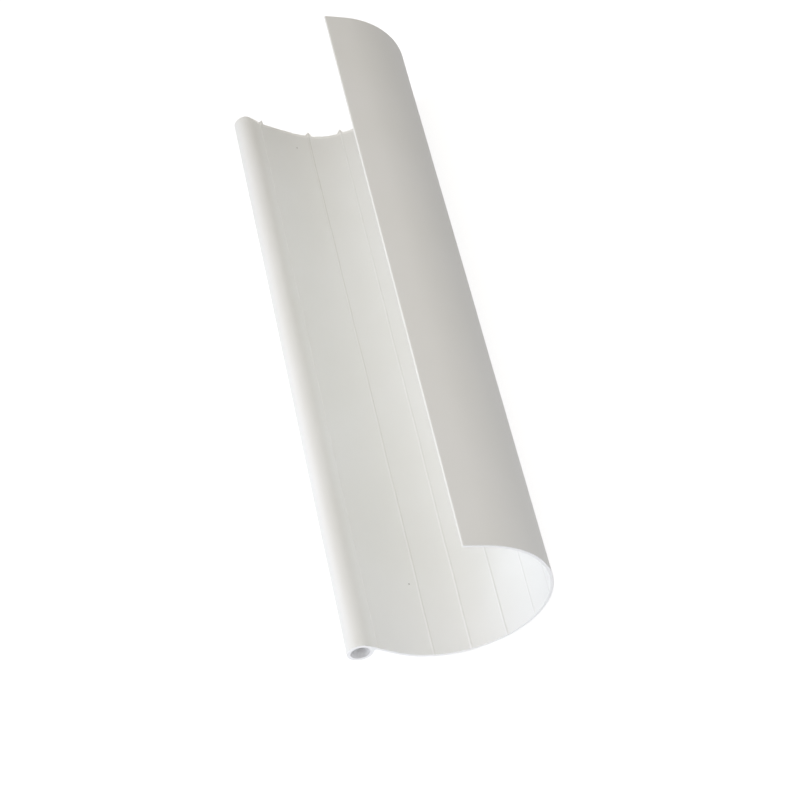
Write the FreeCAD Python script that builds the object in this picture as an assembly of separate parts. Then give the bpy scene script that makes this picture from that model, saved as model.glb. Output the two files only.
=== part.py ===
"""A sawn length of half-round PVC roof gutter, extruded in one piece.

The wall is a round trough that runs on past the half circle. Its back side ends in a
plain straight lip. Its front side runs straight for a while and then closes into a
hollow round bead, which stands on the outside of the wall, so that the inner face
passes smoothly over it. Low ribs run the whole length of the inner face.

Frame, in millimetres: Y runs along the gutter. The bead is on the -X side and the lip
on the +X side. The gutter lies as it comes to rest on a level floor, which is on its
round bottom, rolled towards the heavy bead until its centre of mass is under the axis
of the trough. The origin is on the floor, under the middle of the piece.
"""

import FreeCAD
import Part
import math
import os

# Driving dimensions, in millimetres and degrees.
LENGTH = 500.0              # sawn length
INNER_RADIUS = 63.5         # inner face of the round trough
WALL = 2.2                  # wall of the trough and the lip
BACK_SWEEP = 90.0           # the arc's reach from the bottom up the back
FRONT_SWEEP = 111.0         # the arc's reach from the bottom up the front
BACK_FLAT = 16.0            # straight lip above the arc, at the back
FRONT_FLAT = 25.0           # straight wall between the arc and the bead, at the front
LIP_ROUND = 0.5             # rounded corners of the lip's edge
BEAD_RADIUS = 9.3           # outside of the hollow bead
BEAD_WALL = 2.6             # wall of the hollow bead
BEAD_FILLET = 1.2           # hollow corner where the bead meets the wall's outer face
RIB_WIDTH = 1.8             # a rib at its foot
RIB_HEIGHT = 0.3            # a rib's crown above the inner face
ARC_RIBS = 7                # ribs on the round part
FIRST_RIB = 86.8            # the first of them, from the bottom up the front
RIB_PITCH = 24.3            # angle from each of them to the next
FRONT_RIB_DROP = 7.5        # the rib of the straight front wall, below the bead's start

BORE_RADIUS = BEAD_RADIUS - BEAD_WALL
OUTER_RADIUS = INNER_RADIUS + WALL


def vector(x, z):
    """A point or direction of the section, which is drawn at Y = 0."""
    return FreeCAD.Vector(x, 0, z)


def outward(angle):
    """Unit vector from the trough's axis, at an angle in degrees from the bottom to the back."""
    turn = math.radians(angle)
    return vector(math.sin(turn), -math.cos(turn))


def along(angle):
    """Unit vector along the arc at that angle, towards the back."""
    turn = math.radians(angle)
    return vector(math.cos(turn), math.sin(turn))


def line(start, end):
    """A straight edge."""
    return Part.LineSegment(start, end).toShape()


def arc(start, middle, end):
    """A round edge through three points."""
    return Part.Arc(start, middle, end).toShape()


def corner(start, centre, end):
    """The short round edge about a centre, from start to end."""
    radius = (start - centre).Length
    towards = (start - centre) + (end - centre)
    return arc(start, centre + towards.normalize() * radius, end)


def trough_arc(radius, start, end):
    """A round edge about the trough's axis, between two angles."""
    return arc(outward(start) * radius, outward((start + end) / 2) * radius, outward(end) * radius)


def rib_angles():
    """Angles of the ribs on the round part, from the front to the back."""
    return [RIB_PITCH * number - FIRST_RIB for number in range(ARC_RIBS)]


# Landmarks of the section.
up_front = along(-FRONT_SWEEP) * -1
out_front = outward(-FRONT_SWEEP)
up_back = along(BACK_SWEEP)
out_back = outward(BACK_SWEEP)
front_start = out_front * INNER_RADIUS
back_start = out_back * INNER_RADIUS
bead_start = front_start + up_front * FRONT_FLAT
bead_centre = bead_start + out_front * BEAD_RADIUS


def inner_edges():
    """The inner face from the bead down the front, round the bottom and up the back, with its ribs."""
    half_foot = RIB_WIDTH / 2
    rib_crown = bead_start - up_front * FRONT_RIB_DROP
    rib_top = rib_crown + up_front * half_foot
    rib_bottom = rib_crown - up_front * half_foot
    edges = [
        line(bead_start, rib_top),
        arc(rib_top, rib_crown - out_front * RIB_HEIGHT, rib_bottom),
        line(rib_bottom, front_start),
    ]
    half_angle = math.degrees(math.asin(half_foot / INNER_RADIUS))
    reached = -FRONT_SWEEP
    for angle in rib_angles():
        edges.append(trough_arc(INNER_RADIUS, reached, angle - half_angle))
        foot = outward(angle - half_angle) * INNER_RADIUS
        crown = outward(angle) * (INNER_RADIUS - RIB_HEIGHT)
        reached = angle + half_angle
        edges.append(arc(foot, crown, outward(reached) * INNER_RADIUS))
    edges.append(trough_arc(INNER_RADIUS, reached, BACK_SWEEP))
    return edges


def lip_edges():
    """The straight lip at the back: up its inner face, over its edge and down its outer face."""
    inner_corner = back_start + up_back * BACK_FLAT
    outer_corner = inner_corner + out_back * WALL
    inner_side = inner_corner - up_back * LIP_ROUND
    inner_top = inner_corner + out_back * LIP_ROUND
    outer_top = outer_corner - out_back * LIP_ROUND
    outer_side = outer_corner - up_back * LIP_ROUND
    return [
        line(back_start, inner_side),
        corner(inner_side, inner_top - up_back * LIP_ROUND, inner_top),
        line(inner_top, outer_top),
        corner(outer_top, outer_top - up_back * LIP_ROUND, outer_side),
        line(outer_side, out_back * OUTER_RADIUS),
    ]


def bead_edges():
    """The front from the outer arc up to the bead, and round the bead to where the inner face starts."""
    inset = BEAD_RADIUS - WALL - BEAD_FILLET
    reach = BEAD_RADIUS + BEAD_FILLET
    drop = math.sqrt(reach ** 2 - inset ** 2)
    fillet_centre = bead_centre - out_front * inset - up_front * drop
    on_wall = fillet_centre - out_front * BEAD_FILLET
    on_bead = bead_centre + (fillet_centre - bead_centre) * (BEAD_RADIUS / reach)
    half_covered = math.acos(inset / reach) / 2
    far_side = out_front * math.cos(half_covered) + up_front * math.sin(half_covered)
    return [
        line(out_front * OUTER_RADIUS, on_wall),
        corner(on_wall, fillet_centre, on_bead),
        arc(on_bead, bead_centre + far_side * BEAD_RADIUS, bead_start),
    ]


def section():
    """The gutter's section, with the bore of its bead."""
    outer_arc = trough_arc(OUTER_RADIUS, BACK_SWEEP, -FRONT_SWEEP)
    outline = Part.Wire(inner_edges() + lip_edges() + [outer_arc] + bead_edges())
    bore = Part.Wire([Part.Circle(bead_centre, FreeCAD.Vector(0, 1, 0), BORE_RADIUS).toShape()])
    return Part.Face(outline).cut(Part.Face(bore))


def gutter():
    """The sawn length, laid on the floor as it comes to rest."""
    solid = section().extrude(FreeCAD.Vector(0, LENGTH, 0)).Solids[0]
    mass_centre = solid.CenterOfMass
    roll = math.degrees(math.atan2(mass_centre.x, -mass_centre.z))
    solid.rotate(FreeCAD.Vector(0, 0, 0), FreeCAD.Vector(0, 1, 0), roll)
    box = solid.optimalBoundingBox(False, False)
    solid.translate(FreeCAD.Vector(-box.Center.x, -LENGTH / 2, OUTER_RADIUS))
    return solid


os.makedirs("parts", exist_ok=True)
gutter_section = gutter()
gutter_section.exportStep("parts/gutter_section.step")
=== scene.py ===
"""A sawn length of white half-round PVC roof gutter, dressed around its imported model.

The gutter is one extrusion: a round trough, a plain lip along its back edge, a hollow round bead along its
front edge, and low ribs along its inner face. Its section is walked as one closed line of tangent stretches,
and is carried along the gutter's length with the small faults that extruding and sawing leave. Sections are
drawn upright, in millimetres, about the trough's axis. They are then rolled and moved to where the gutter
lies on the floor.
"""

import logging
import math
from dataclasses import dataclass, field
from enum import Enum
from typing import Any, Optional

import bpy
import numpy as np
from mathutils import Matrix, Vector
from mathutils.geometry import tessellate_polygon


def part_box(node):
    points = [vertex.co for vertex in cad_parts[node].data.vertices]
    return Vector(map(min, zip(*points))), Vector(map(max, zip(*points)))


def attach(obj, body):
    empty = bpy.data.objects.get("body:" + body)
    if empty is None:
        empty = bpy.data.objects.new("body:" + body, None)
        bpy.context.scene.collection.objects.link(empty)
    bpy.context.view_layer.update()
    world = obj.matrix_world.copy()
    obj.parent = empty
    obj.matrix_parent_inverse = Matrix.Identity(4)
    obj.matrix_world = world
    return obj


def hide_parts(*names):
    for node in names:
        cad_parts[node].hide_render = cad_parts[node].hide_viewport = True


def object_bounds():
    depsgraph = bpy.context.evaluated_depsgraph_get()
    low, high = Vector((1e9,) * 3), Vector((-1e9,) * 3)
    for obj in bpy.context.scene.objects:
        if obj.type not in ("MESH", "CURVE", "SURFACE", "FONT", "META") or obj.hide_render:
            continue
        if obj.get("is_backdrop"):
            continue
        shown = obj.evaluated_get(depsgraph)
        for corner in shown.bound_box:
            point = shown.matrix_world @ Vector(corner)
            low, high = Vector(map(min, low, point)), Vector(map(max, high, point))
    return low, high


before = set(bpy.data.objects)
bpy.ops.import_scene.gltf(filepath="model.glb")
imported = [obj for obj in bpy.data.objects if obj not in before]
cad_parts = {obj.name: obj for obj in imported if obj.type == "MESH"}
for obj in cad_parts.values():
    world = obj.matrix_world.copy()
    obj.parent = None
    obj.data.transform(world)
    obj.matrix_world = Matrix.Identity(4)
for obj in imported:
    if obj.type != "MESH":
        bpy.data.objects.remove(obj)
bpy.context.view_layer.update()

NODE = "gutter_section"
BODY = "root"
MM = 0.001
SAME_PLACE = 1e-6
WHITE = "#FFFFFF"

# The inputs and the output that the colour mix node uses, by number.
MIX_SHARE = 0
MIX_FIRST = 6
MIX_SECOND = 7
MIX_RESULT = 2

# The phase of the wave texture, in radians, for each unit of its scaled place.
WAVE_RADIANS = 20.0

# Distances between samples along the section, in millimetres.
FLAT_STEP = 2.5
ARC_STEP = 2.0
LIP_STEP = 3.0
EDGE_STEP = 0.6
ROUND_STEP = 0.1
FILLET_STEP = 0.22
BEAD_STEP = 0.7

log = logging.getLogger("gutter")

Array = np.ndarray
Pair = tuple[float, float]
Triple = tuple[float, float, float]
Tree = bpy.types.NodeTree
Socket = bpy.types.NodeSocket


def linear(code: str) -> tuple[float, float, float, float]:
    """Turn an sRGB hex colour to linear light.

    Args:
        code: the colour, as #RRGGBB.

    Returns:
        Linear red, green and blue, and an alpha of 1.
    """
    shares = [int(code[place:place + 2], 16) / 255 for place in (1, 3, 5)]
    red, green, blue = (s / 12.92 if s <= 0.04045 else ((s + 0.055) / 1.055) ** 2.4 for s in shares)
    return red, green, blue, 1.0


def add_node(tree: Tree, kind: str, settings: Optional[dict[str, Any]] = None,
             inputs: Optional[dict[Any, Any]] = None) -> bpy.types.Node:
    """Add a node with its settings and links.

    Args:
        tree: the node tree that gets it.
        kind: the node's type name.
        settings: the node's own properties.
        inputs: a value or an output socket for each input, by the input's name or number.

    Returns:
        The new node.
    """
    node = tree.nodes.new(kind)
    for name, value in (settings or {}).items():
        setattr(node, name, value)
    for name, value in (inputs or {}).items():
        if isinstance(value, Socket):
            tree.links.new(value, node.inputs[name])
        else:
            node.inputs[name].default_value = value
    return node


def new_material(name: str) -> tuple[bpy.types.Material, Tree]:
    """Make an empty node material.

    Args:
        name: the material's name.

    Returns:
        The material and its node tree, with no nodes.
    """
    material = bpy.data.materials.new(name)
    material.use_nodes = True
    material.node_tree.nodes.clear()
    return material, material.node_tree


def blend(tree: Tree, share: Socket, first: Any, second: Any) -> Socket:
    """Blend two colours.

    Args:
        tree: the node tree.
        share: how much of the second colour shows, held between 0 and 1.
        first: a colour, or a socket that gives it.
        second: the other colour, likewise.

    Returns:
        The blended colour.
    """
    inputs = {MIX_SHARE: share, MIX_FIRST: first, MIX_SECOND: second}
    return add_node(tree, "ShaderNodeMix", {"data_type": "RGBA"}, inputs).outputs[MIX_RESULT]


def noise(tree: Tree, place: Socket, size_mm: float, detail: float) -> Socket:
    """Noise from 0 to 1 whose patches are about so many millimetres across, with so many finer layers."""
    inputs = {"Vector": place, "Scale": 1 / (size_mm * MM), "Detail": detail}
    return add_node(tree, "ShaderNodeTexNoise", {}, inputs).outputs[0]


def spread(tree: Tree, value: Socket, before: Pair, after: Pair = (0.0, 1.0)) -> Socket:
    """Spread a range of a value evenly over another range, and hold what lies outside it to its ends."""
    inputs = {"Value": value, "From Min": before[0], "From Max": before[1],
              "To Min": after[0], "To Max": after[1]}
    return add_node(tree, "ShaderNodeMapRange", {}, inputs).outputs[0]


def bump(tree: Tree, height: Socket, depth_mm: float, under: Optional[Socket] = None) -> Socket:
    """Relief of so many millimetres from a height of 0 to 1, over the relief under it where there is one."""
    inputs = {"Height": height, "Strength": 1.0, "Distance": depth_mm * MM}
    if under is not None:
        inputs["Normal"] = under
    return add_node(tree, "ShaderNodeBump", {}, inputs).outputs[0]


def plastic(tree: Tree, colour: Socket, roughness: Any, ior: float, normal: Socket) -> None:
    """Add a plastic surface and make it what the material shows.

    Args:
        tree: the material's node tree.
        colour: its colour.
        roughness: its roughness, as a number or a socket.
        ior: its index of refraction.
        normal: its relief.
    """
    shader = add_node(tree, "ShaderNodeBsdfPrincipled", {},
                      {"Base Color": colour, "Roughness": roughness, "IOR": ior, "Normal": normal})
    add_node(tree, "ShaderNodeOutputMaterial", {}, {"Surface": shader.outputs[0]})


def hump(distance: Array, half_width: float) -> Array:
    """A smooth hump of height 1: half of one plus the cosine of a half turn per half width. It is 0 outside."""
    share = np.clip(np.abs(distance) / half_width, 0.0, 1.0)
    return 0.5 + 0.5 * np.cos(np.pi * share)


def fade(distance: Array, reach: float) -> Array:
    """1 at no distance, falling to 0 at the reach as the square of what is left."""
    return np.clip(1.0 - distance / reach, 0.0, 1.0) ** 2


@dataclass(frozen=True)
class Stretch:
    """A stretch of the section's outline.

    Its length is in millimetres and its turn, left positive, in radians. It is sampled at even steps, and at
    fine ones within reach of each detail. All samples lie on a fine grid, so that close ones fall together.
    """

    length: float
    turn: float
    step: float
    details: tuple[float, ...] = ()
    detail_reach: float = 2.6
    detail_samples: int = 41
    grid: float = 0.05

    def marks(self) -> Array:
        """Distances along the stretch to sample.

        Returns:
            Rising distances from 0, without the far end.
        """
        count = max(2, math.ceil(self.length / self.step) + 1)
        even = np.linspace(0.0, self.length, count)[:-1]
        about = np.linspace(-self.detail_reach, self.detail_reach, self.detail_samples)
        every = np.concatenate([even, *(spot + about for spot in self.details)])
        every = every[(every >= 0.0) & (every < self.length - self.grid)]
        return np.unique(np.round(every / self.grid) * self.grid)


@dataclass
class GutterShape:
    """The gutter's section and its place, in millimetres and degrees.

    The trough is an arc that sweeps from the bottom up to the back and up to the front, with a flat wall above
    each of its ends. One rib lies on the front flat, by its drop below the bead. The others lie on the arc at an
    even pitch, and the first of them at its angle from the bottom towards the front.
    """

    inner_radius: float = 63.5
    wall: float = 2.2
    back_sweep: float = 90.0
    front_sweep: float = 111.0
    back_flat: float = 16.0
    front_flat: float = 25.0
    lip_round: float = 0.8
    bead_radius: float = 9.3
    bead_wall: float = 2.6
    bead_fillet: float = 1.2
    rib_width: float = 1.8
    rib_height: float = 0.3
    arc_ribs: int = 7
    first_rib: float = 86.8
    rib_pitch: float = 24.3
    front_rib_drop: float = 7.5

    def front_heading(self) -> float:
        """Heading down the straight front wall, which the trough's arc takes over."""
        return -math.radians(self.front_sweep)

    def bead_start(self) -> Array:
        """Where the front wall's inner face meets the bead: up the wall from the front end of the arc."""
        heading = self.front_heading()
        arc_end = self.inner_radius * np.array([math.sin(heading), -math.cos(heading)])
        return arc_end - self.front_flat * np.array([math.cos(heading), math.sin(heading)])

    def bead_centre(self) -> Array:
        """The bead's centre: one bead radius to the right of the heading at the bead's start."""
        heading = self.front_heading()
        return self.bead_start() + self.bead_radius * np.array([math.sin(heading), -math.cos(heading)])

    def inner_length(self) -> float:
        """Length of the inner face along the section, from the bead's start to the lip's edge."""
        sweep = math.radians(self.front_sweep + self.back_sweep)
        return self.front_flat + self.inner_radius * sweep + self.back_flat

    def rib_places(self) -> list[float]:
        """Distances of the ribs' crowns along the inner face from the bead's start, front to back."""
        on_arc = [self.front_sweep - self.first_rib + self.rib_pitch * n for n in range(self.arc_ribs)]
        return [self.front_rib_drop] + [self.front_flat + self.inner_radius * math.radians(a) for a in on_arc]

    def stretches(self) -> list[Stretch]:
        """The closed outline as tangent stretches, from the bead's start down the inner face.

        The fillet beside the bead rolls in the corner between the wall's outer face and the bead: its centre is
        one fillet radius off the wall and one fillet radius off the bead, so both its ends are tangent.

        Returns:
            The stretches, in order. Their turns add up to one whole turn to the right.
        """
        sweep = math.radians(self.front_sweep + self.back_sweep)
        ribs = self.rib_places()
        outer = self.inner_radius + self.wall
        inset = self.bead_radius - self.wall - self.bead_fillet
        reach = self.bead_radius + self.bead_fillet
        covered = math.acos(inset / reach)
        quarter = math.pi / 2
        corner = Stretch(self.lip_round * quarter, -quarter, ROUND_STEP)
        lip_side = Stretch(self.back_flat - self.lip_round, 0.0, LIP_STEP)
        return [
            Stretch(self.front_flat, 0.0, FLAT_STEP, tuple(ribs[:1])),
            Stretch(self.inner_radius * sweep, sweep, ARC_STEP, tuple(r - self.front_flat for r in ribs[1:])),
            lip_side,
            corner,
            Stretch(self.wall - 2 * self.lip_round, 0.0, EDGE_STEP),
            corner,
            lip_side,
            Stretch(outer * sweep, -sweep, ARC_STEP),
            Stretch(self.front_flat - reach * math.sin(covered), 0.0, FLAT_STEP),
            Stretch(self.bead_fillet * (math.pi - covered), math.pi - covered, FILLET_STEP),
            Stretch(self.bead_radius * (2 * math.pi - covered), covered - 2 * math.pi, BEAD_STEP),
        ]

    def walk(self) -> tuple[Array, Array, Array]:
        """Sample the outline.

        After a distance d along a stretch of length L that turns by A, the heading is h + A d / L. The chord
        so far points halfway, along h + A d / 2L. It is d long, times the sine of that half turn over the half
        turn.

        Returns:
            Points, unit normals that point out of the wall, and distances along the outline.
        """
        place, heading, walked = self.bead_start(), self.front_heading(), 0.0
        points, normals, distances = [], [], []
        for stretch in self.stretches():
            along = np.append(stretch.marks(), stretch.length)
            half_turn = stretch.turn * along / stretch.length / 2
            chord = along * np.sinc(half_turn / np.pi)
            towards = np.stack([np.cos(heading + half_turn), np.sin(heading + half_turn)], axis=1)
            steps = place + chord[:, None] * towards
            facing = heading + 2 * half_turn
            points.append(steps[:-1])
            normals.append(np.stack([-np.sin(facing), np.cos(facing)], axis=1)[:-1])
            distances.append(walked + along[:-1])
            place, heading, walked = steps[-1], heading + stretch.turn, walked + stretch.length
        return np.concatenate(points), np.concatenate(normals), np.concatenate(distances)

    def bore(self, count: int = 56) -> tuple[Array, Array]:
        """Sample the bead's bore, round which the normals point to its centre, out of the wall.

        Args:
            count: how many samples.

        Returns:
            Points and unit normals.
        """
        turn = np.linspace(0.0, 2 * np.pi, count, endpoint=False)
        out = np.stack([np.cos(turn), np.sin(turn)], axis=1)
        return self.bead_centre() + (self.bead_radius - self.bead_wall) * out, -out

    def lie_down(self) -> tuple[float, Array]:
        """Work out how the gutter lies: rolled until its section's centroid is below the trough's axis.

        The area and centroid of each closed line are the sums of the triangles between its edges and the axis.
        The bore's are taken from the outline's.

        Returns:
            The roll in radians, and the move (across, up) in millimetres that follows it.
        """
        total, moment = 0.0, np.zeros(2)
        outline = self.walk()[0]
        for loop in (outline, self.bore()[0]):
            after = np.roll(loop, -1, axis=0)
            twice = loop[:, 0] * after[:, 1] - after[:, 0] * loop[:, 1]
            sign = 1.0 if loop is outline else -1.0
            area = abs(twice.sum()) / 2
            centre = ((loop + after) * twice[:, None]).sum(axis=0) / (3 * twice.sum())
            total += sign * area
            moment += sign * area * centre
        centroid = moment / total
        roll = -math.atan2(centroid[0], -centroid[1])
        across = (turned(outline, roll)[:, 0].min() + turned(outline, roll)[:, 0].max()) / 2
        return roll, np.array([-across, self.inner_radius + self.wall])


def turned(points: Array, roll: float) -> Array:
    """Turn section points about the trough's axis, left positive.

    Args:
        points: places in the section, with across and up in the last axis.
        roll: the turn in radians.

    Returns:
        The turned places.
    """
    across, up = points[..., 0], points[..., 1]
    return np.stack([across * math.cos(roll) - up * math.sin(roll),
                     across * math.sin(roll) + up * math.cos(roll)], axis=-1)


@dataclass(frozen=True)
class ExtrudedPvc:
    """Rigid white PVC-U as it leaves the extrusion die and cools in its calibrator.

    It is satin, with faint lines along the run where the die drew on it, a slow unevenness of tone, and a few
    burnt specks at their places in metres. The mesh's layer of painted light and shade says how much painted
    shade lies on it, above zero, and how much painted highlight, below zero.
    """

    name: str = "extruded_white_pvc_u"
    body: str = "#F2F3F1"
    shade: str = "#F0F1EE"
    # Colour of the painted shade beside the ribs and in the crease below the bead.
    painted_shade: str = "#C8C6BD"
    # Colour of the painted highlight along the ribs and of the painted light in the bore.
    painted_highlight: str = WHITE
    light_and_shade_layer: str = "light_and_shade"
    speck: str = "#8C8A82"
    speck_places: tuple[Triple, ...] = (
        (-0.0320, -0.1927, 0.0178),
        (-0.0370, 0.2304, 0.0226),
    )
    speck_mm: float = 0.7
    speck_core: float = 0.3
    ior: float = 1.53
    roughness_range: Pair = (0.51, 0.60)
    cloud_mm: float = 70.0
    cloud_range: Pair = (0.35, 0.65)
    die_line_mm: float = 1.3
    die_line_run_mm: float = 900.0
    die_line_range: Pair = (0.3, 0.7)
    die_line_depth_mm: float = 0.012
    peel_mm: float = 5.0
    peel_depth_mm: float = 0.006

    def material(self) -> bpy.types.Material:
        """Build the material.

        Returns:
            The finished material.
        """
        material, tree = new_material(self.name)
        place = add_node(tree, "ShaderNodeTexCoord").outputs["Object"]
        lines = self.die_lines(tree, place)
        tone = spread(tree, noise(tree, place, self.cloud_mm, 3.0), self.cloud_range)
        unshaded = blend(tree, tone, linear(self.shade), linear(self.body))
        colour = self.specked(tree, place, self.lit_and_shaded(tree, unshaded))
        roughness = spread(tree, lines, self.die_line_range, self.roughness_range)
        peeled = bump(tree, noise(tree, place, self.peel_mm, 1.0), self.peel_depth_mm)
        drawn = bump(tree, lines, self.die_line_depth_mm, peeled)
        plastic(tree, colour, roughness, self.ior, drawn)
        return material

    def die_lines(self, tree: Tree, place: Socket) -> Socket:
        """Noise drawn out along the run into lines.

        Args:
            tree: the material's node tree.
            place: places in metres.

        Returns:
            The noise, from 0 to 1.
        """
        across, run = 1 / (self.die_line_mm * MM), 1 / (self.die_line_run_mm * MM)
        drawn = add_node(tree, "ShaderNodeMapping", {}, {"Vector": place, "Scale": (across, run, across)})
        inputs = {"Vector": drawn.outputs[0], "Scale": 1.0, "Detail": 3.0, "Roughness": 0.6}
        return add_node(tree, "ShaderNodeTexNoise", {}, inputs).outputs[0]

    def lit_and_shaded(self, tree: Tree, colour: Socket) -> Socket:
        """Paint shade over a colour where the layer is above zero, and paint a highlight where it is below zero.

        Args:
            tree: the material's node tree.
            colour: the colour without painted light and shade.

        Returns:
            The colour with its painted shade and highlight.
        """
        light_and_shade = add_node(tree, "ShaderNodeAttribute", {"attribute_name": self.light_and_shade_layer}).outputs["Fac"]
        shaded = blend(tree, light_and_shade, colour, linear(self.painted_shade))
        highlight_strength = add_node(tree, "ShaderNodeMath", {"operation": "MULTIPLY"}, {0: light_and_shade, 1: -1.0}).outputs[0]
        return blend(tree, highlight_strength, shaded, linear(self.painted_highlight))

    def specked(self, tree: Tree, place: Socket, colour: Socket) -> Socket:
        """Put the burnt specks on a colour: full in the core of each, and fading to its rim.

        Args:
            tree: the material's node tree.
            place: places in metres.
            colour: the colour without specks.

        Returns:
            The colour with specks.
        """
        rim = self.speck_mm * MM
        for spot in self.speck_places:
            apart = add_node(tree, "ShaderNodeVectorMath", {"operation": "DISTANCE"}, {0: place, 1: spot})
            clear = spread(tree, apart.outputs["Value"], (self.speck_core * rim, rim))
            colour = blend(tree, clear, linear(self.speck), colour)
        return colour


@dataclass(frozen=True)
class SawnPvc:
    """The same PVC-U where a saw went through it: matt, whitened by the cut, and scored by the teeth."""

    name: str = "sawn_white_pvc_u"
    body: str = "#FBFBF9"
    shade: str = "#F3F3F0"
    roughness: float = 0.75
    ior: float = 1.53
    tooth_mm: float = 0.8
    tooth_depth_mm: float = 0.03
    fuzz_mm: float = 0.35

    def material(self) -> bpy.types.Material:
        """Build the material.

        Returns:
            The finished material.
        """
        material, tree = new_material(self.name)
        place = add_node(tree, "ShaderNodeTexCoord").outputs["Object"]
        scale = math.pi / (WAVE_RADIANS * self.tooth_mm * MM)
        teeth = add_node(tree, "ShaderNodeTexWave", {"wave_type": "BANDS", "bands_direction": "Z"},
                         {"Vector": place, "Scale": scale, "Distortion": 3.0, "Detail": 2.0})
        colour = blend(tree, noise(tree, place, self.fuzz_mm, 2.0), linear(self.shade), linear(self.body))
        scored = bump(tree, teeth.outputs["Fac"], self.tooth_depth_mm)
        plastic(tree, colour, self.roughness, self.ior, scored)
        return material


class Face(Enum):
    """Which finish a face of the gutter has, as the number of its material slot."""

    DRAWN = 0
    SAWN = 1


@dataclass(frozen=True)
class RibFault:
    """How one rib strays, and the painted shade and highlight along it.

    Its lean is how far it has moved by the near end, in millimetres. The strengths of the painted shade beside it
    and of the painted highlight along it are given at the far end and at the near end.
    """

    lean: float = 0.0
    painted_shade: Pair = (0.2, 0.2)
    highlight_strength: Pair = (0.1, 0.1)


@dataclass(frozen=True)
class SawnEnds:
    """What the saw left at the two ends, in millimetres and degrees.

    Both cuts wander in sine waves, each given as its share, its turns round the section and its multiple of the
    phase. The far cut stopped short of the full length by its inset, less a swell about an angle on the front
    wall, and ran out to the full length over the bead. It tore the first ribs off in short tongues, the spurs,
    and left a burr along the inner edge, ragged by sine waves that beat, each given as its turn in radians for
    a millimetre and its phase.
    """

    edge_round: float = 0.2
    drift: float = 0.25
    drift_reach: float = 12.0
    drift_waves: tuple[Triple, ...] = ((0.3, 1.4, 1.0), (0.15, 7.0, 2.0), (0.05, 31.0, 1.0))
    near_phase: float = 0.7
    far_phase: float = 2.9
    inset: float = 6.4
    swell: float = 3.4
    swell_angle: float = -105.0
    swell_spread: float = 33.0
    run_out: float = 6.0
    spurred_ribs: int = 3
    spur_length: float = 2.8
    spur_rise: float = 1.1
    spur_width: float = 6.4
    spur_reach: float = 4.0
    burr_height: float = 1.2
    burr_reach: float = 2.8
    burr_fade: float = 3.0
    burr_ragged: float = 0.25
    burr_waves: tuple[Pair, ...] = ((1.9, 0.0), (0.83, 1.0))

    def rim_inset(self, depth: Array) -> Array:
        """How far the faces stand back beside an end: a quarter circle of the edge's round."""
        inside = np.clip(1.0 - depth / self.edge_round, 0.0, 1.0)
        return self.edge_round * (1.0 - np.sqrt(1.0 - inside ** 2))

    def wander(self, angle: Array, depth: Array, phase: float) -> Array:
        """How far a cut wanders into the gutter, faded out away from the end.

        Args:
            angle: angles about the trough's axis, in radians.
            depth: distances from the end.
            phase: where the waves start.

        Returns:
            Distances, none below zero.
        """
        waves = sum(share * (1.0 + np.sin(turns * angle + times * phase))
                    for share, turns, times in self.drift_waves)
        return self.drift * waves * fade(depth, self.drift_reach)

    def far_cut(self, angle: Array, outside: Array) -> Array:
        """How far short of the full length the far cut ended.

        On the wall it is the inset less the hump of swell. Over the bead what is left falls to nothing as the
        square root of the share of the way out.

        Args:
            angle: angles about the trough's axis from the bottom towards the back, in radians.
            outside: distances beyond the wall's outer face.

        Returns:
            Distances from the full length.
        """
        swell = self.swell * hump(angle - math.radians(self.swell_angle), math.radians(self.swell_spread))
        way_out = np.where(angle < 0.0, np.clip(outside / self.run_out, 0.0, 1.0), 0.0)
        return (self.inset - swell) * (1.0 - np.sqrt(way_out))

    def spurs(self, distance: Array, crowns: list[float], far_depth: Array) -> Array:
        """Share of a full spur, from 0 to 1: a hump about each torn rib, faded out away from the far end."""
        across = sum(hump(distance - crown, self.spur_width / 2) for crown in crowns[:self.spurred_ribs])
        return across * fade(far_depth, self.spur_reach)

    def burr(self, distance: Array, inner_length: float, far_depth: Array) -> Array:
        """How far the burr stands off the inner face, ragged, and faded out away from the far end.

        Args:
            distance: distances along the outline.
            inner_length: the length of the inner face, before whose end the burr fades out.
            far_depth: distances from the far end.

        Returns:
            Heights above the face.
        """
        beat = math.prod(np.sin(distance * rate + phase) for rate, phase in self.burr_waves)
        ragged = 1.0 + self.burr_ragged * (beat - 1.0)
        on_face = np.clip((inner_length - distance) / self.burr_fade, 0.0, 1.0)
        return self.burr_height * ragged * on_face * fade(far_depth, self.burr_reach)


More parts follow.
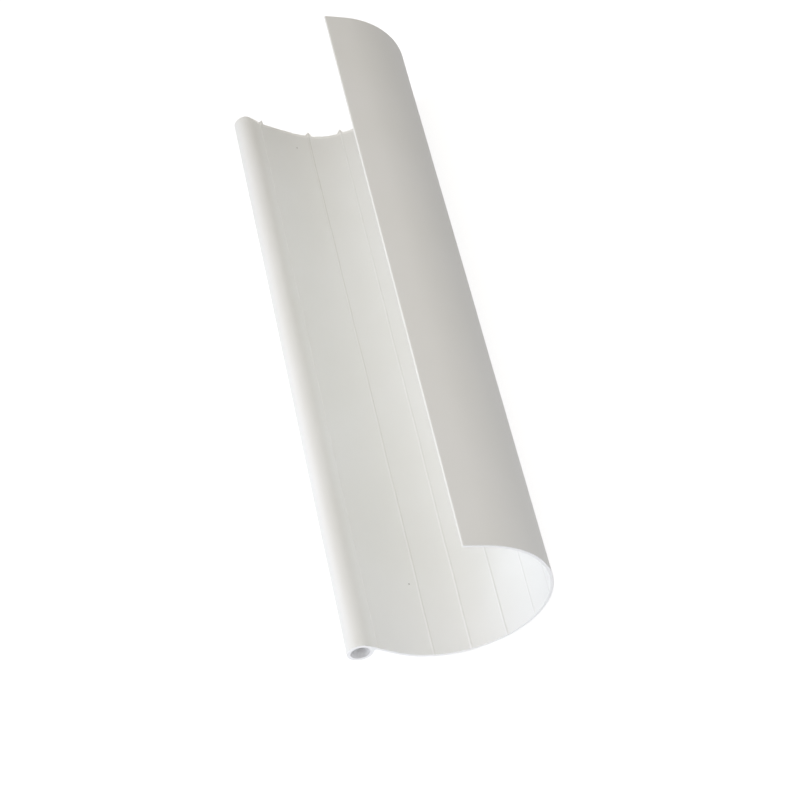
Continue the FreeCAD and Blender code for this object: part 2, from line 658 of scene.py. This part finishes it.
@dataclass
class GutterSection:
    """The whole gutter as one closed surface: the drawn faces, the bead's bore and the two sawn ends.

    The wall drifts in sine waves, each given as its share, its run along the gutter, its turns round the section
    and its phase. The ribs sway in sine waves, each given as its run and its phase from rib to rib. Shade is
    painted beside the ribs and in the crease below the bead, and a highlight along the ribs. The bore is painted
    whiter than the faces outside, as painted light.
    """

    shape: GutterShape = field(default_factory=GutterShape)
    ends: SawnEnds = field(default_factory=SawnEnds)
    station: float = 7.0
    rim_steps: tuple[float, ...] = (0.0, 0.03, 0.08, 0.14, 0.2, 0.5, 1.1, 2.0, 3.5, 6.0)
    wall_drift: float = 0.05
    wall_waves: tuple[tuple[float, float, float, float], ...] = (
        (1.0, 49.0, 1.3, 0.4),
        (0.6, 23.0, -2.1, 1.9),
        (0.4, 14.0, 3.3, 0.7),
    )
    rib_drift: float = 0.1
    rib_waves: tuple[Pair, ...] = ((23.0, 2.1), (9.7, 1.0))
    rib_faults: tuple[RibFault, ...] = (
        RibFault(0.4, (0.0, 0.1), (0.0, 0.2)),
        RibFault(1.0, (0.28, 0.24), (-0.2, 0.6)),
        RibFault(0.1, (0.0, 0.2), (0.0, 0.7)),
        RibFault(-0.3, (0.24, 0.22), (0.3, 0.3)),
        RibFault(-0.1, (0.15, 0.13), (0.3, 0.3)),
        RibFault(),
        RibFault(),
        RibFault(),
    )
    streak_width: float = 0.85
    # Painted shade lies this far beside each rib's crown, towards the back; painted highlight this far the other
    # way.
    shade_offset: float = 0.35
    highlight_offset: float = -0.75
    # Painted shade in the crease below the bead, and its width.
    crease_shade: float = 0.12
    crease_width: float = 5.0
    # Painted light in the shaded bore: its lining is painted this far towards white.
    bore_light: float = -0.9

    def stations(self, near: float, far: float) -> Array:
        """Places along the gutter of its sections, close together at the ends where the edges are rounded.

        Args:
            near: the near end's place.
            far: the far end's place.

        Returns:
            Rising places from the near end to the far end.
        """
        rim = np.array(self.rim_steps)
        count = math.ceil((far - near - 2 * rim[-1]) / self.station)
        middle = np.linspace(near + rim[-1], far - rim[-1], count + 1)
        return np.concatenate([near + rim[:-1], middle, (far - rim[:-1])[::-1]])

    def crowns(self, along: Array) -> list[Array]:
        """Distances along the outline of the ribs' crowns, which sway a little and lean towards the near end.

        Args:
            along: places along the gutter.

        Returns:
            For each rib, its crown at those places.
        """
        left = share_left(along)
        crowns = []
        for number, (crown, fault) in enumerate(zip(self.shape.rib_places(), self.rib_faults)):
            sway = sum(np.sin(along / run + phase * number) for run, phase in self.rib_waves)
            crowns.append(crown + fault.lean * left + self.rib_drift * sway)
        return crowns

    def ribs(self, distance: Array, along: Array) -> Array:
        """Height of the ribs over the inner face, by station and point: a hump about each crown."""
        half_foot = self.shape.rib_width / 2
        return self.shape.rib_height * sum(hump(distance - crown[:, None], half_foot)
                                           for crown in self.crowns(along))

    def streaks(self, distance: Array, along: Array, shares: list[Pair], offset: float) -> Array:
        """Streaks that run beside the ribs' crowns.

        Args:
            distance: distances along the outline.
            along: places along the gutter.
            shares: for each rib, the streak's strength at the far end and at the near end.
            offset: how far beside the crown it lies, towards the back.

        Returns:
            Strengths by station and point.
        """
        left = share_left(along)
        strengths = np.zeros((len(along), len(distance)))
        for (far, near), crown in zip(shares, self.crowns(along)):
            strength = far + (near - far) * left
            strengths += strength[:, None] * hump(distance - crown[:, None] - offset, self.streak_width)
        return strengths

    def light_and_shade(self, distance: Array, along: Array) -> Array:
        """Painted shade beside the ribs and in the crease, less the painted highlight along the ribs, by station
        and point.
        """
        rib_shade = self.streaks(distance, along, [fault.painted_shade for fault in self.rib_faults], self.shade_offset)
        highlight_strength = self.streaks(distance, along, [fault.highlight_strength for fault in self.rib_faults], self.highlight_offset)
        # Painted shade in the crease where the inner face meets the bead.
        crease = np.minimum(distance, distance[-1] - distance)
        return rib_shade - highlight_strength + self.crease_shade * hump(crease, self.crease_width)

    def wall_sway(self, angle: Array, along: Array) -> Array:
        """How far the wall drifts away from the axis: its waves less their highest sum, so never above zero.

        Args:
            angle: angles about the trough's axis, in radians.
            along: places along the gutter.

        Returns:
            Distances.
        """
        waves = sum(share * (np.sin(along / run + turns * angle + phase) - 1.0)
                    for share, run, turns, phase in self.wall_waves)
        return self.wall_drift * waves

    def carried(self, section: Array, normals: Array, distance: Array, along: Array) -> Array:
        """Carry a closed line along the gutter, with its faults, and lay it down.

        Args:
            section: the line's points in the upright section.
            normals: its unit normals out of the wall.
            distance: distances along the outline, or beyond every rib for the bore.
            along: the stations.

        Returns:
            Places in the gutter's frame, in metres, by station and point.
        """
        ends = self.ends
        near_depth = (along - along[0])[:, None]
        far_depth = (along[-1] - along)[:, None]
        spur = ends.spurs(distance[None, :], self.shape.rib_places(), far_depth)
        burr = ends.burr(distance[None, :], self.shape.inner_length(), far_depth)
        proud = self.ribs(distance, along) + ends.spur_rise * spur + burr
        proud = proud - ends.rim_inset(np.minimum(near_depth, far_depth))
        across = section[None, :, 0] + normals[None, :, 0] * proud
        up = section[None, :, 1] + normals[None, :, 1] * proud
        angle = np.arctan2(across, -up)
        outside = np.hypot(across, up) - self.shape.inner_radius - self.shape.wall
        kept = 1.0 - ends.far_cut(angle, outside) / (along[-1] - along[0])
        sway = self.wall_sway(angle, along[:, None])
        upright = np.stack([across + sway * np.sin(angle), up - sway * np.cos(angle)], axis=-1)
        roll, move = self.shape.lie_down()
        laid = turned(upright, roll) + move
        sawn_in = ends.wander(angle, near_depth, ends.near_phase)
        sawn_off = ends.wander(angle, far_depth, ends.far_phase)
        place = along[0] + near_depth * kept + sawn_in - sawn_off + ends.spur_length * spur
        return np.stack([laid[..., 0], place, laid[..., 1]], axis=-1) * MM

    def build(self) -> bpy.types.Object:
        """Build the mesh: two tubes of quads, and two flat ends of triangles between their rims.

        Returns:
            The gutter's object, dressed and in place.
        """
        low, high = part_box(NODE)
        along = self.stations(low.y / MM, high.y / MM)
        outline, normals, distance = self.shape.walk()
        bore, bore_normals = self.shape.bore()
        beyond = np.full(len(bore), distance[-1])
        skin = self.carried(outline, normals, distance, along).reshape(-1, 3)
        lining = self.carried(bore, bore_normals, beyond, along).reshape(-1, 3)
        sides = np.concatenate([tube_faces(len(along), len(outline)),
                                tube_faces(len(along), len(bore))[:, ::-1] + len(skin)])
        caps = self.end_faces(outline, bore, len(along), len(skin))
        by_far_end = along[-1] - along[:-1] <= self.ends.burr_reach + SAME_PLACE
        burred = by_far_end[:, None] & (distance < self.shape.inner_length())
        finish = np.concatenate([np.where(burred.ravel(), Face.SAWN.value, Face.DRAWN.value),
                                 np.full(len(sides) - burred.size, Face.DRAWN.value),
                                 np.full(len(caps), Face.SAWN.value)])
        smooth = np.concatenate([np.ones(len(sides), bool), np.zeros(len(caps), bool)])
        mesh = bpy.data.meshes.new("gutter_profile")
        mesh.from_pydata(np.concatenate([skin, lining]).tolist(), [], sides.tolist() + caps.tolist())
        mesh.polygons.foreach_set("use_smooth", smooth)
        mesh.polygons.foreach_set("material_index", finish.astype(np.int32))
        # The layer holds the painted shade and highlight on the faces, and the painted light in the bore.
        layer = mesh.attributes.new(ExtrudedPvc.light_and_shade_layer, "FLOAT", "POINT")
        light_and_shade = np.append(self.light_and_shade(distance, along).ravel(), np.full(len(lining), self.bore_light))
        layer.data.foreach_set("value", light_and_shade)
        for dress in (ExtrudedPvc(), SawnPvc()):
            mesh.materials.append(dress.material())
        mesh.update()
        gutter = bpy.data.objects.new("gutter_profile", mesh)
        bpy.context.scene.collection.objects.link(gutter)
        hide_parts(NODE)
        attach(gutter, BODY)
        log.info("%s: %d faces on %d sections of %d points", gutter.name, len(mesh.polygons), len(along),
                 len(outline))
        return gutter

    @staticmethod
    def end_faces(outline: Array, bore: Array, count: int, skin_size: int) -> Array:
        """Fill the two ends with triangles between the outline and the bore.

        Args:
            outline: the outline's points in the upright section.
            bore: the bore's points.
            count: how many stations there are.
            skin_size: how many vertices come before the bore's.

        Returns:
            Corner numbers of the triangles, facing away from the gutter.
        """
        loops = [[Vector((x, z, 0.0)) for x, z in loop] for loop in (outline, bore)]
        corners = np.array(tessellate_polygon(loops))
        flat = np.concatenate([outline, bore])[corners]
        first, second = flat[:, 1] - flat[:, 0], flat[:, 2] - flat[:, 0]
        left = first[:, 0] * second[:, 1] - first[:, 1] * second[:, 0] > 0
        corners = np.where(left[:, None], corners, corners[:, ::-1])
        on_skin = corners < len(outline)
        near = np.where(on_skin, corners, corners - len(outline) + skin_size)
        step = np.where(on_skin, len(outline) * (count - 1), len(bore) * (count - 1))
        return np.concatenate([near, (near + step)[:, ::-1]])


def share_left(along: Array) -> Array:
    """Share of the gutter's length that lies between each place and the far end."""
    return (along[-1] - along) / (along[-1] - along[0])


def tube_faces(rings: int, points: int) -> Array:
    """Corner numbers of the quads between closed rings of points, facing to the left of the walk."""
    ring = np.arange(rings - 1)[:, None] * points
    here = np.arange(points)[None, :]
    after = (here + 1) % points
    corners = [ring + here, ring + after, ring + points + after, ring + points + here]
    return np.stack(corners, axis=-1).reshape(-1, 4)


@dataclass(frozen=True)
class Lamp:
    """A soft lamp that looks at the gutter's middle.

    Its bearing and its height above the floor are in degrees, its distance and the sides of its screen in metres,
    and its power in watts.
    """

    name: str
    azimuth: float
    elevation: float
    distance: float
    width: float
    height: float
    power: float
    colour: str = "#EDF2FF"

    def hang(self, target: Vector) -> bpy.types.Object:
        """Hang the lamp.

        Args:
            target: the place that it looks at.

        Returns:
            The lamp's object.
        """
        data = bpy.data.lights.new(self.name, "AREA")
        data.shape = "RECTANGLE"
        data.size, data.size_y = self.width, self.height
        data.energy = self.power
        data.color = linear(self.colour)[:3]
        lamp = bpy.data.objects.new(self.name, data)
        towards = bearing(self.azimuth, self.elevation)
        lamp.location = target + towards * self.distance
        lamp.rotation_euler = towards.to_track_quat("Z", "Y").to_euler()
        bpy.context.scene.collection.objects.link(lamp)
        log.info("lamp %s", self.name)
        return lamp


def bearing(azimuth: float, elevation: float) -> Vector:
    """Unit vector from the gutter, by its bearing round it and its height above the floor, in degrees."""
    turn, rise = math.radians(azimuth), math.radians(elevation)
    return Vector((math.sin(turn) * math.cos(rise), -math.cos(turn) * math.cos(rise), math.sin(rise)))


@dataclass
class Studio:
    """A white floor, soft lamps and the camera.

    Bearings, heights and the roll are in degrees, places and distances in metres, and the lens in millimetres.
    """

    floor_side: float = 12.0
    floor_colour: str = "#B8B8B8"
    floor_lift: float = 0.8
    sky_colour: str = "#FFF8EE"
    sky_strength: float = 0.363
    camera_azimuth: float = 19.272
    camera_elevation: float = 51.18
    camera_roll: float = -38.312
    camera_distance: float = 1.4329
    camera_aim: Triple = (0.00658, -0.0794, 0.0657)
    camera_lens: float = 92.09
    lamps: tuple[Lamp, ...] = (
        Lamp("front", azimuth=-94.0, elevation=42.0, distance=0.75, width=0.5, height=0.6, power=2.28),
        Lamp("near", azimuth=-30.0, elevation=6.0, distance=1.6, width=1.0, height=0.4, power=12.9),
        Lamp("back", azimuth=58.0, elevation=26.0, distance=1.2, width=0.8, height=0.7, power=2.25),
        Lamp("top", azimuth=0.0, elevation=88.0, distance=0.8, width=0.5, height=0.5, power=1.55,
             colour="#FFF8EE"),
    )

    def lay_floor(self) -> None:
        """Lay the floor under the gutter. Its lift is light that only the eye sees, so it looks white."""
        half, level = self.floor_side / 2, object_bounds()[0].z
        corners = [(-half, -half, level), (half, -half, level), (half, half, level), (-half, half, level)]
        mesh = bpy.data.meshes.new("studio_floor")
        mesh.from_pydata(corners, [], [(0, 1, 2, 3)])
        floor = bpy.data.objects.new("studio_floor", mesh)
        bpy.context.scene.collection.objects.link(floor)
        material, tree = new_material("studio_paper")
        seen = self.seen(tree)
        paper = add_node(tree, "ShaderNodeBsdfDiffuse", {}, {"Color": linear(self.floor_colour)})
        glow = add_node(tree, "ShaderNodeEmission", {}, {"Color": linear(WHITE), "Strength": self.floor_lift})
        both = add_node(tree, "ShaderNodeAddShader", {}, {0: paper.outputs[0], 1: glow.outputs[0]})
        mixed = add_node(tree, "ShaderNodeMixShader", {}, {0: seen, 1: paper.outputs[0], 2: both.outputs[0]})
        add_node(tree, "ShaderNodeOutputMaterial", {}, {"Surface": mixed.outputs[0]})
        mesh.materials.append(material)
        floor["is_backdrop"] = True

    @staticmethod
    def seen(tree: Tree) -> Socket:
        """Share that is 1 for rays from the eye or a reflection, and 0 for those that carry light."""
        path = add_node(tree, "ShaderNodeLightPath")
        shiny = add_node(tree, "ShaderNodeMath", {"operation": "MAXIMUM"},
                         {0: path.outputs["Is Camera Ray"], 1: path.outputs["Is Glossy Ray"]})
        clear = add_node(tree, "ShaderNodeMath", {"operation": "MAXIMUM"},
                         {0: shiny.outputs[0], 1: path.outputs["Is Transmission Ray"]})
        return clear.outputs[0]

    def hang_sky(self) -> None:
        """Make the world: white where it is seen, and softer where it lights."""
        world = bpy.data.worlds.new("studio_sky")
        world.use_nodes = True
        tree = world.node_tree
        tree.nodes.clear()
        light = add_node(tree, "ShaderNodeBackground", {},
                         {"Color": linear(self.sky_colour), "Strength": self.sky_strength})
        white = add_node(tree, "ShaderNodeBackground", {}, {"Color": linear(WHITE), "Strength": 1.0})
        mixed = add_node(tree, "ShaderNodeMixShader", {},
                         {0: self.seen(tree), 1: light.outputs[0], 2: white.outputs[0]})
        add_node(tree, "ShaderNodeOutputWorld", {}, {"Surface": mixed.outputs[0]})
        bpy.context.scene.world = world

    def place_camera(self) -> None:
        """Place the camera on its bearing, at its distance from its aim, and roll it about its line of sight."""
        data = bpy.data.cameras.new("camera")
        data.lens = self.camera_lens
        camera = bpy.data.objects.new("camera", data)
        back = bearing(self.camera_azimuth, self.camera_elevation)
        level = back.to_track_quat("Z", "Y").to_matrix()
        turn = Matrix.Rotation(math.radians(self.camera_roll), 3, "Z")
        place = Vector(self.camera_aim) + back * self.camera_distance
        camera.matrix_world = Matrix.Translation(place) @ (level @ turn).to_4x4()
        bpy.context.scene.collection.objects.link(camera)
        bpy.context.scene.camera = camera

    def build(self) -> None:
        """Build the whole studio round the gutter."""
        low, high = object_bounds()
        self.lay_floor()
        self.hang_sky()
        for lamp in self.lamps:
            lamp.hang((low + high) / 2)
        self.place_camera()
        bpy.context.scene.view_settings.view_transform = "Standard"


def main() -> None:
    """Build the gutter and the studio round it."""
    logging.basicConfig(level=logging.INFO, format="%(name)s: %(message)s")
    GutterSection().build()
    Studio().build()


if __name__ == "__main__":
    main()
